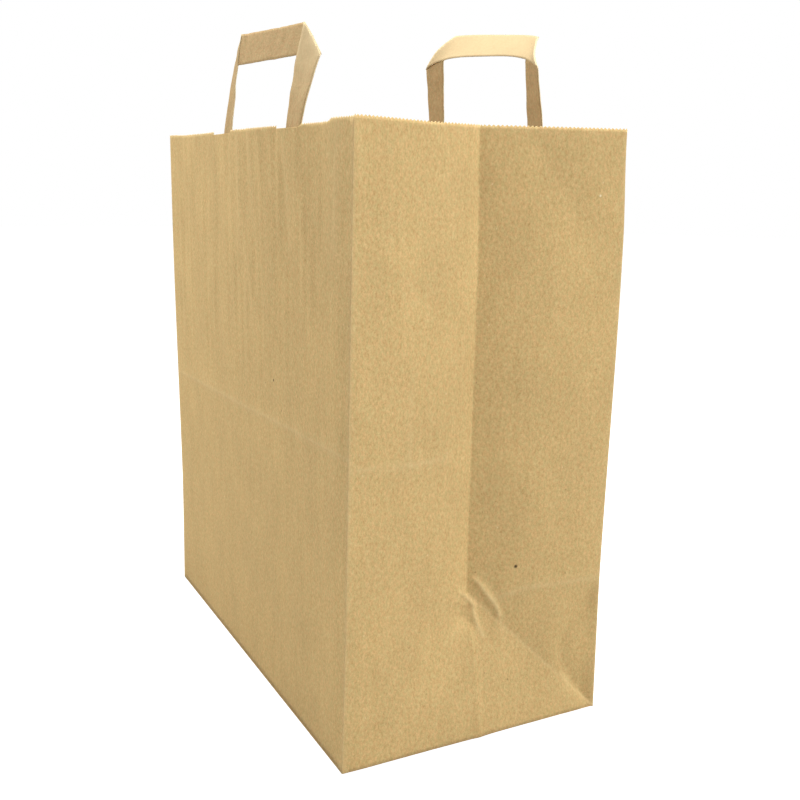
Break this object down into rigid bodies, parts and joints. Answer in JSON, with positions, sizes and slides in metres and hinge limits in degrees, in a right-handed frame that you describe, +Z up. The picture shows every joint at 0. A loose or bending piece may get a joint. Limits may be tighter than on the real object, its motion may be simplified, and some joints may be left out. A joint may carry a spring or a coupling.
{
  "type": "flat handle paper carrier bag",
  "caption": "Opened, free-standing kraft paper carrier bag with folded gussets, a block bottom, a pinked mouth and flat strip handles glued in under patches.",
  "frame": {"origin": "On the plane that the bag stands on, under the middle of its block bottom.", "axes": "+Z is up out of the mouth, X runs along the bag's width and Y along its depth. The front panel faces -Y, and the gussets face +X and -X."},
  "size_m": [0.32, 0.1871, 0.4217],
  "materials": {
    "kraft_sheet": "matt unbleached brown kraft with a fine fibre mottle",
    "kraft_strip": "matt unbleached brown kraft, folded to several plies",
    "kraft_patch": "matt unbleached brown kraft, a little darker inside the bag"
  },
  "bodies": {
    "root": {"bag_body": "kraft_sheet", "front_handle": "kraft_strip", "back_handle": "kraft_strip", "front_handle_patch": "kraft_patch", "back_handle_patch": "kraft_patch"}
  },
  "joints": []
}
